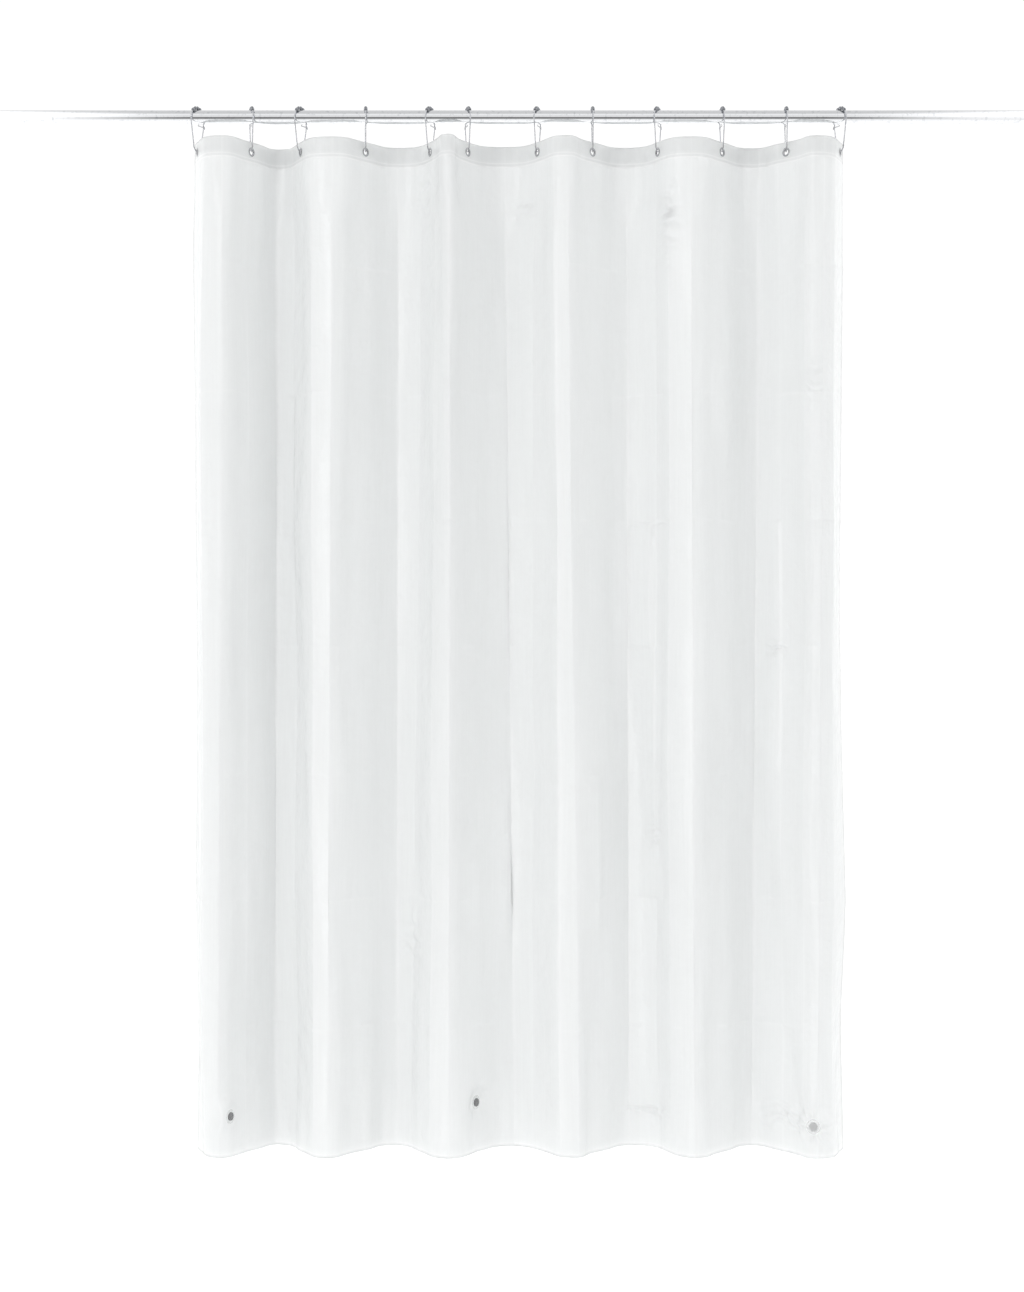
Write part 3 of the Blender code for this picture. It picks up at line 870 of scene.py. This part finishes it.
class CurtainEyeletSettings(bpy.types.PropertyGroup):
    bore: length("Bore", "Radius of the hole through an eyelet", 0.00475)
    barrel: length("Barrel", "Outer radius of the barrel", 0.0055)
    flange: length("Flange", "Outer radius of the eyelet's flange", 0.00825)
    plate: length("Plate", "Thickness of the flange and the washer", 0.0006)


class CurtainStageSettings(bpy.types.PropertyGroup):
    distance: length("Camera distance", "From the rod's axis to the camera", 4.15)
    lens: bpy.props.FloatProperty(name="Lens", description="Focal length in millimetres", default=63.8, min=1.0)
    eye_height: bpy.props.FloatProperty(
        name="Camera height", description="Above the rod's axis", default=-0.958, unit="LENGTH"
    )
    floor: bpy.props.FloatProperty(
        name="Floor height", description="Above the rod's axis", default=-2.16, unit="LENGTH"
    )
    room_light: bpy.props.FloatProperty(
        name="Room light", description="Brightness of the white room", default=1.47, min=0.0
    )
    key_power: bpy.props.FloatProperty(
        name="Key light", description="Power of the tall strip light at the left", default=26.0, unit="POWER"
    )


SETTINGS = {
    "curtain_film": CurtainFilmSettings,
    "curtain_hook": CurtainHookSettings,
    "curtain_eyelet": CurtainEyeletSettings,
    "curtain_stage": CurtainStageSettings,
}


# ---- operators -------------------------------------------------------------------------------------


class CURTAIN_OT_film(bpy.types.Operator):
    """Hang the liner's film in its folds"""

    bl_idname = "curtain.film"
    bl_label = "Liner film"

    def execute(self, context):
        film = context.scene.curtain_film
        creases = [top for top, _ in CREASE_LINES]
        columns = stations(0.0, DROP, film.column_step, creases, (-0.0025, 0.0, 0.0025))
        header_rows = stations(0.0, FINE_TOP, 0.0042, WELD_LINES, (-0.0016, 0.0, 0.0016))
        beside = (-0.007, -0.0025, 0.0, 0.0025, 0.007)
        body_rows = stations(FINE_TOP, FINE_HEM, film.row_step, CREASE_ROWS, beside)
        hem_rows = stations(FINE_HEM, DROP, 0.0080, (HEM_LINE_DOWN,), (-0.0010, 0.0, 0.0010))
        rows = sorted({*header_rows, *body_rows, *hem_rows})
        bm = flat_film(columns, rows, EYELET_ZONES + MAGNET_ZONES + CRINKLE_ZONES)
        cut_eyelet_holes(bm, film.hole)
        milky = film_material("Calendered EVA film", ("#F1F2F2", "#ECEDED"), 0.44, 0.20)
        obj = hang_film("liner_film", bm, film, 0.0, film.thickness, milky)
        ride_and_replace(obj, "curtain", "liner_film", "liner_sheet")
        close_up(obj)
        return {"FINISHED"}


class CURTAIN_OT_header(bpy.types.Operator):
    """Weld the folded film behind the liner's top edge"""

    bl_idname = "curtain.header"
    bl_label = "Welded header"

    def execute(self, context):
        film = context.scene.curtain_film
        columns = stations(0.0, DROP, film.column_step)
        rows = stations(0.0, HEADER_HEIGHT, 0.0040)
        bm = flat_film(columns, rows, EYELET_ZONES)
        cut_eyelet_holes(bm, film.hole)
        behind = -(film.thickness / 2 + CLEAR + film.header_thickness / 2)
        milky = film_material("Welded EVA film", ("#F7F7F7", "#F3F4F4"), 0.62, 0.26)
        obj = hang_film("header_fold", bm, film, behind, film.header_thickness, milky)
        ride_and_replace(obj, "curtain", "header_film", "header_band")
        close_up(obj)
        return {"FINISHED"}


class CURTAIN_OT_eyelets(bpy.types.Operator):
    """Set a stamped metal eyelet through each hole of the header"""

    bl_idname = "curtain.eyelets"
    bl_label = "Eyelets"

    def execute(self, context):
        size = context.scene.curtain_eyelet
        film = context.scene.curtain_film
        front = film.thickness / 2 + CLEAR
        back = front + film.header_thickness + CLEAR
        # Stamped brass, nickel plated and tumbled: a grey half-bright finish, duller in its hollows.
        nickel = metal_material("Nickel plated brass", "#A9AAAC", "#7E7F82", 0.26, (1.0, 1.0, 1.0), 900.0)
        rim = 0.42 * size.plate
        face = front + size.plate
        tail = -back - size.plate - 0.0002
        bulge = [
            (size.flange - rim, front), (size.flange, front + rim), (size.flange - rim, front + 1.7 * rim),
            (size.flange - 0.0009, face + 0.00012), (size.bore + 0.0008, face + 0.00022),
            (size.bore + 0.0002, face - 0.0001), (size.bore, front - 0.0002),
            (size.bore, tail), (size.barrel, tail), (size.barrel, front),
        ]
        washer = round_profile(size.flange, size.barrel + 0.0003, -back - size.plate, -back, 0.00018)
        shell = lathe("eyelet_front", bulge, 40)
        disc = lathe("eyelet_back", washer, 40)
        for tag, (place, normal) in zip(TAGS, EYELET_AXES):
            for name, mesh in (("eyelet_front", shell), ("eyelet_back", disc)):
                obj = placed(f"{name}_ring_{tag}", mesh, stand_on(place, normal), nickel)
                ride_and_replace(obj, f"hook_{tag}", "eyelet_metal", f"{name}_{tag}")
        return {"FINISHED"}


class CURTAIN_OT_hooks(bpy.types.Operator):
    """Bend a wire hook for each eyelet"""

    bl_idname = "curtain.hooks"
    bl_label = "Hook wires"

    def execute(self, context):
        hook = context.scene.curtain_hook
        # Steel wire, bright nickel and chrome plated: nearly a mirror, with faint lines from its drawing.
        plate = metal_material("Chrome plated steel wire", "#ADAEB1", "#919396", 0.11, (1.0, 1.0, 1.0), 700.0)
        wire = wire_mesh("hook_wire", hook_route(hook), hook.wire_radius)
        for tag in TAGS:
            x, turn = hook_stand(tag)
            matrix = Matrix.Translation((x, 0, 0)) @ Matrix.Rotation(turn, 4, "Z")
            obj = placed(f"hook_wire_bent_{tag}", wire, matrix, plate)
            ride_and_replace(obj, f"hook_{tag}", "hook_steel", f"hook_wire_{tag}")
        return {"FINISHED"}


class CURTAIN_OT_balls(bpy.types.Operator):
    """Thread the roller balls on each hook's crown"""

    bl_idname = "curtain.balls"
    bl_label = "Roller balls"

    def execute(self, context):
        hook = context.scene.curtain_hook
        # Hardened steel balls, ground and polished: darker than chrome, with a very sharp shine.
        steel = metal_material("Polished steel balls", "#7C7E82", "#5E6064", 0.08, (1.0, 1.0, 1.0), 1200.0)
        radius = hook.ball_radius - CLEAR
        start = math.degrees(math.acos(hook.ball_bore / radius))
        outline = arc(0.0, 0.0, radius, start, -start, 14)
        ball = link_object("ball", lathe("ball", [(p.y, p.z) for p in outline], 24), steel)
        tree = ball_string_tree()
        for tag in TAGS:
            x, turn = hook_stand(tag)
            values = {
                "Ball": ball, "Material": steel, "Count": hook.ball_count, "Ball radius": hook.ball_radius,
                "Crown radius": hook.crown_radius, "Crown height": crown_height(hook),
                "Along rod": x, "Turn": turn,
            }
            obj = grown(f"roller_balls_{tag}", tree, values, steel)
            ride_and_replace(obj, f"hook_{tag}", "roller_steel", f"hook_rollers_{tag}")
        bpy.data.objects.remove(ball, do_unlink=True)
        return {"FINISHED"}


class CURTAIN_OT_magnets(bpy.types.Operator):
    """Seal a magnet disc under its round film pocket at each place near the hem"""

    bl_idname = "curtain.magnets"
    bl_label = "Hem magnets"

    def execute(self, context):
        pocket_film = 0.0002
        seal_radius = 0.0115
        # Sintered ferrite: dark grey and dull, with a sandy grain about 0.3 mm.
        ferrite = dull_material("Sintered ferrite", "#3A3B3D", "#4C4D4F", 0.50, 3200.0, 0.05)
        clear = clear_film_material("Clear EVA film", 0.09)
        cloudy = clear_film_material("Cloudy EVA film", 0.30)
        corner = 0.0004
        edge = arc(MAGNET_RADIUS - corner, MAGNET_THICKNESS - corner, corner, 90, 0, 4)
        edge += arc(MAGNET_RADIUS - corner, corner, corner, 0, -90, 4)
        outline = [(0.0, MAGNET_THICKNESS), *[(p.y, p.z) for p in edge], (0.0, 0.0)]
        disc = lathe("magnet", outline, 48, closed=False)
        cover = lathe("pocket", self.cover_outline(pocket_film), 72, closed=False)
        self.gather(cover)
        # one short bar of the crimped heat seal, which lies outwards
        bar = bevelled_bar("seal_bar", (0.0018, 0.0005, 0.00022), 0.00042, 0.00008)
        bar = link_object("seal_bar", bar, clear)
        tree = ring_tree()
        for name, (centre, normal) in zip(MAGNETS, MAGNET_AXES):
            place = stand_on(centre - normal * (MAGNET_THICKNESS / 2), normal)
            body = f"hem_{name}"
            obj = placed(f"magnet_disc_{name}", disc, place, ferrite)
            ride_and_replace(obj, body, "magnet_ferrite", f"magnet_{name}")
            obj = placed(f"magnet_cover_{name}", cover, place, cloudy if name == "right" else clear)
            ride_and_replace(obj, body, "pocket_film", f"magnet_pocket_{name}")
            values = {"Part": bar, "Material": clear, "Count": 44, "Radius": seal_radius}
            ring = grown(f"heat_seal_{name}", tree, values, clear)
            ring.data.transform(place)
            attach(ring, body)
        bpy.data.objects.remove(bar, do_unlink=True)
        return {"FINISHED"}

    def cover_outline(self, thickness):
        """The pocket's section: a rim on the liner, a wall up the magnet and a slightly crowned top."""
        roof = MAGNET_THICKNESS + CLEAR
        wall = MAGNET_RADIUS + CLEAR
        inner = [
            (0.0, roof + 0.00012), (0.45 * wall, roof + 0.0001), (0.93 * wall, roof),
            (wall, roof - 0.00015), (wall + 0.00008, 0.55 * roof), (wall + 0.0005, 0.00025),
            (wall + 0.0012, 0.00004), (0.0128, 0.00004),
        ]
        outer = [
            (0.0130, 0.00012), (0.0128, 0.00004 + thickness), (wall + 0.0013, 0.00004 + thickness),
            (wall + 0.0007, 0.00045), (wall + thickness + 0.00008, 0.55 * roof),
            (wall + thickness, roof - 0.0001),
            (0.93 * wall, roof + thickness), (0.45 * wall, roof + 0.0001 + thickness),
            (0.0, roof + 0.00012 + thickness),
        ]
        return inner + outer

    def gather(self, mesh):
        """Small gathers in the pocket's rim, from its welding."""
        for vert in mesh.vertices:
            radius = math.hypot(vert.co.x, vert.co.y)
            angle = math.atan2(vert.co.y, vert.co.x)
            wave = 0.5 + 0.5 * math.sin(13 * angle + 1.3 * math.sin(3 * angle))
            rim = float(smoothstep(0.0084, 0.0100, radius) * smoothstep(0.0130, 0.0112, radius))
            vert.co.z += 0.00022 * wave * rim


class CURTAIN_OT_rod(bpy.types.Operator):
    """Put the chrome rod between its two rubber feet"""

    bl_idname = "curtain.rod"
    bl_label = "Rod and feet"

    def execute(self, context):
        # Chrome plated steel tube, polished along its length: a long mirror with faint lines and spots.
        chrome = metal_material("Chrome plated steel tube", "#E9EAEC", "#D5D7DA", 0.055, (3.0, 90.0, 90.0), 9.0)
        rubber = dull_material("Moulded grey rubber", "#8E9092", "#9B9DA0", 0.62, 900.0, 0.08)
        low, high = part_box("rod_tube")
        along = Matrix.Rotation(math.radians(90), 4, "Y")
        back = Matrix.Translation((ROD_LENGTH, 0, 0)) @ Matrix.Rotation(math.radians(-90), 4, "Y")
        tube = lathe("rod", round_profile(ROD_RADIUS, ROD_RADIUS - 0.0010, low.x, high.x, 0.0003), 128)
        ride_and_replace(placed("rod_chrome_tube", tube, along, chrome), "rod", "rod_chrome", "rod_tube")
        foot = lathe("foot", self.foot_outline(), 72, closed=False)
        # one moulded grip rib, which stands on the foot's neck
        rib = link_object("rib", bevelled_bar("rib", (0.0012, 0.0011, 0.0085), 0.0160, 0.0003), rubber)
        tree = ring_tree()
        values = {"Part": rib, "Material": rubber, "Count": 28, "Radius": 0.0158}
        for side, matrix in (("left", along), ("right", back)):
            obj = placed(f"rubber_foot_{side}", foot, matrix, rubber)
            ride_and_replace(obj, "rod", "foot_rubber", f"rod_foot_{side}")
            ribs = grown(f"foot_ribs_{side}", tree, values, rubber)
            ribs.data.transform(matrix)
            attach(ribs, "rod")
        bpy.data.objects.remove(rib, do_unlink=True)
        return {"FINISHED"}

    def foot_outline(self):
        """A foot's section from the wall's face out: grip rings, flange, waist and the lip round the rod."""
        socket = ROD_RADIUS + 0.0003
        face = [(0.0, 0.0004)]
        for ring in (0.004, 0.008, 0.012, 0.016):
            face += [(ring - 0.0012, 0.0004), (ring - 0.0008, 0.0)]
            face += [(ring + 0.0008, 0.0), (ring + 0.0012, 0.0004)]
        side = [
            (0.0188, 0.0004), (0.0196, 0.0008), (0.0200, 0.0018), (0.0200, 0.0050),
            (0.0194, 0.0064), (0.0175, 0.0080), (0.0162, 0.0098), (0.0157, 0.0120),
            (0.0155, 0.0210), (0.0160, 0.0222), (0.0159, 0.0234), (0.0152, 0.0240),
        ]
        inside = [(socket + 0.0004, 0.0240), (socket, 0.0236), (socket, 0.0050), (0.0, 0.0050)]
        return face + side + inside


class CURTAIN_OT_stage(bpy.types.Operator):
    """Set a pale floor, a white room, a tall strip light at the left, and the camera"""

    bl_idname = "curtain.stage"
    bl_label = "Stage and camera"

    # Tones of the room: the middle of its front and back by height, and its front from left to right
    FRONT_BANDS = (
        (-1.0, 0.65), (-0.75, 0.69), (-0.62, 0.67), (-0.54, 0.18), (-0.22, 0.16), (-0.12, 0.21), (-0.02, 0.62),
        (0.10, 0.66), (0.34, 0.58), (0.50, 0.67), (0.62, 0.73), (0.74, 0.58), (0.84, 0.48), (1.0, 0.49),
    )
    BACK_BANDS = ((-1.0, 0.60), (-0.60, 0.63), (0.0, 0.70), (0.60, 0.58), (1.0, 0.51))
    SIDE_TONES = (
        (-1.0, 0.55), (-0.75, 0.84), (-0.50, 1.00), (-0.25, 1.00), (0.30, 0.90), (0.70, 0.84), (1.0, 0.86),
    )
    BACK_TONE = 0.97
    BACKDROP = 1.05  # the plain white that the camera sees past the object
    FLOOR_RADIUS = 60.0
    FLOOR_FRONT = 1.2  # from the rod to the floor's front edge
    KEY_WIDTH, KEY_LENGTH = 0.14, 5.0
    KEY_DISTANCE = 4.2
    KEY_BEARING = math.radians(-38)  # to the left of straight in front
    KEY_RISE = 0.05  # for each metre of the distance

    def execute(self, context):
        stage = context.scene.curtain_stage
        context.scene.view_settings.view_transform = "Standard"
        self.floor(stage)
        self.room(context.scene, stage)
        self.strip_light(stage)
        data = bpy.data.cameras.new("Camera")
        data.lens = stage.lens
        camera = bpy.data.objects.new("Camera", data)
        camera.location = (ROD_LENGTH / 2, -stage.distance, stage.eye_height)
        camera.rotation_euler = (math.radians(90), 0, 0)
        context.scene.collection.objects.link(camera)
        context.scene.camera = camera
        return {"FINISHED"}

    def floor(self, stage):
        """A wide matt white floor under the hem. It ends soon in front, so that the rod mirrors the room."""
        made, tree, output = new_material("Matt white floor paint")
        place = add(tree, "ShaderNodeTexCoord").outputs["Object"]
        grain = add(tree, "ShaderNodeTexNoise", {"Vector": place, "Scale": 30.0}).outputs["Fac"]
        whites = {"Factor": grain, 6: linear("#FFFFFF"), 7: linear("#FBFBFB")}
        tint = add(tree, "ShaderNodeMix", whites, data_type="RGBA").outputs[2]
        paint = add(tree, "ShaderNodeBsdfPrincipled", {"Base Color": tint, "Roughness": 0.9})
        tree.links.new(paint.outputs[0], output.inputs[0])
        bm = bmesh.new()
        bmesh.ops.create_circle(bm, cap_ends=True, segments=256, radius=self.FLOOR_RADIUS)
        centre = (ROD_LENGTH / 2, self.FLOOR_RADIUS - self.FLOOR_FRONT, stage.floor)
        bmesh.ops.translate(bm, vec=centre, verts=bm.verts)
        mesh = bpy.data.meshes.new("floor")
        bm.to_mesh(mesh)
        bm.free()
        link_object("floor", mesh, made)

    def room(self, scene, stage):
        """A white room, lighter at the left. Its middle, which the rod mirrors, has level bands."""
        world = bpy.data.worlds.new("White room")
        world.use_nodes = True
        scene.world = world
        tree = world.node_tree
        tree.nodes.clear()
        toward = add(tree, "ShaderNodeTexCoord").outputs["Generated"]
        x, y, z = add(tree, "ShaderNodeSeparateXYZ", {"Vector": toward}).outputs

        def ramp(value, start, end, low, high):
            inputs = {"Value": value, "From Min": start, "From Max": end, "To Min": low, "To Max": high}
            return add(tree, "ShaderNodeMapRange", inputs, interpolation_type="SMOOTHSTEP")

        def blend(share, a, b):
            return add(tree, "ShaderNodeMix", {0: share, 2: a, 3: b})

        def bands(value, stops):
            """Tones along a direction's coordinate, which runs from -1 to 1."""
            share = add(tree, "ShaderNodeMath", {0: value, 1: 0.5, 2: 0.5}, operation="MULTIPLY_ADD")
            node = add(tree, "ShaderNodeValToRGB", {0: share})
            elements = node.color_ramp.elements
            elements.remove(elements[1])
            elements[0].position = 0.0
            elements[0].color = (stops[0][1],) * 3 + (1.0,)
            for place, tone in stops[1:]:
                elements.new((place + 1) / 2).color = (tone, tone, tone, 1.0)
            return node

        front = ramp(y, 0.15, -0.15, 0.0, 1.0)
        away = add(tree, "ShaderNodeMath", {0: x}, operation="ABSOLUTE")
        middle = ramp(away, 0.24, 0.38, 1.0, 0.0)
        mirrored = blend(front, bands(z, self.BACK_BANDS), bands(z, self.FRONT_BANDS))
        sides = blend(front, self.BACK_TONE, bands(x, self.SIDE_TONES))
        sky = ramp(z, -0.60, 0.80, 0.84, 1.22)
        sides = add(tree, "ShaderNodeMath", {0: sides, 1: sky}, operation="MULTIPLY")
        tone = blend(middle, sides, mirrored)
        light = add(tree, "ShaderNodeMath", {0: tone, 1: stage.room_light}, operation="MULTIPLY")
        lit = add(tree, "ShaderNodeBackground", {"Color": (1, 1, 1, 1), "Strength": light})
        plain = add(tree, "ShaderNodeBackground", {"Color": (1, 1, 1, 1), "Strength": self.BACKDROP})
        seen = add(tree, "ShaderNodeLightPath").outputs["Is Camera Ray"]
        mixed = add(tree, "ShaderNodeMixShader", {0: seen, 1: lit, 2: plain})
        add(tree, "ShaderNodeOutputWorld", {0: mixed})

    def strip_light(self, stage):
        """A tall softbox in front at the left, which draws the long highlights down the folds."""
        data = bpy.data.lights.new("Strip light", "AREA")
        data.shape = "RECTANGLE"
        data.size, data.size_y = self.KEY_WIDTH, self.KEY_LENGTH
        data.energy = stage.key_power
        lamp = bpy.data.objects.new("Strip light", data)
        middle = Vector((ROD_LENGTH / 2, 0.0, -0.85))
        toward = Vector((math.sin(self.KEY_BEARING), -math.cos(self.KEY_BEARING), self.KEY_RISE))
        lamp.location = middle + self.KEY_DISTANCE * toward
        lamp.rotation_euler = (lamp.location - middle).to_track_quat("Z", "Y").to_euler()
        lamp.visible_camera = False
        bpy.context.scene.collection.objects.link(lamp)


OPERATORS = (
    CURTAIN_OT_stage, CURTAIN_OT_rod, CURTAIN_OT_film, CURTAIN_OT_header, CURTAIN_OT_eyelets,
    CURTAIN_OT_hooks, CURTAIN_OT_balls, CURTAIN_OT_magnets,
)


class CURTAIN_PT_parts(bpy.types.Panel):
    """The curtain's sizes and its pieces"""

    bl_idname = "CURTAIN_PT_parts"
    bl_label = "Shower curtain"
    bl_space_type = "VIEW_3D"
    bl_region_type = "UI"
    bl_category = "Curtain"

    def draw(self, context):
        for name, kind in SETTINGS.items():
            box = self.layout.box()
            for prop in kind.__annotations__:
                box.prop(getattr(context.scene, name), prop)
        for operator in OPERATORS:
            self.layout.operator(operator.bl_idname)


def register():
    for kind in (*SETTINGS.values(), *OPERATORS, CURTAIN_PT_parts):
        bpy.utils.register_class(kind)
    for name, kind in SETTINGS.items():
        setattr(bpy.types.Scene, name, bpy.props.PointerProperty(type=kind))


def unregister():
    for name in SETTINGS:
        delattr(bpy.types.Scene, name)
    for kind in reversed((*SETTINGS.values(), *OPERATORS, CURTAIN_PT_parts)):
        bpy.utils.unregister_class(kind)


def main():
    register()
    for operator in OPERATORS:
        group, name = operator.bl_idname.split(".")
        getattr(getattr(bpy.ops, group), name)()


if __name__ == "__main__":
    main()
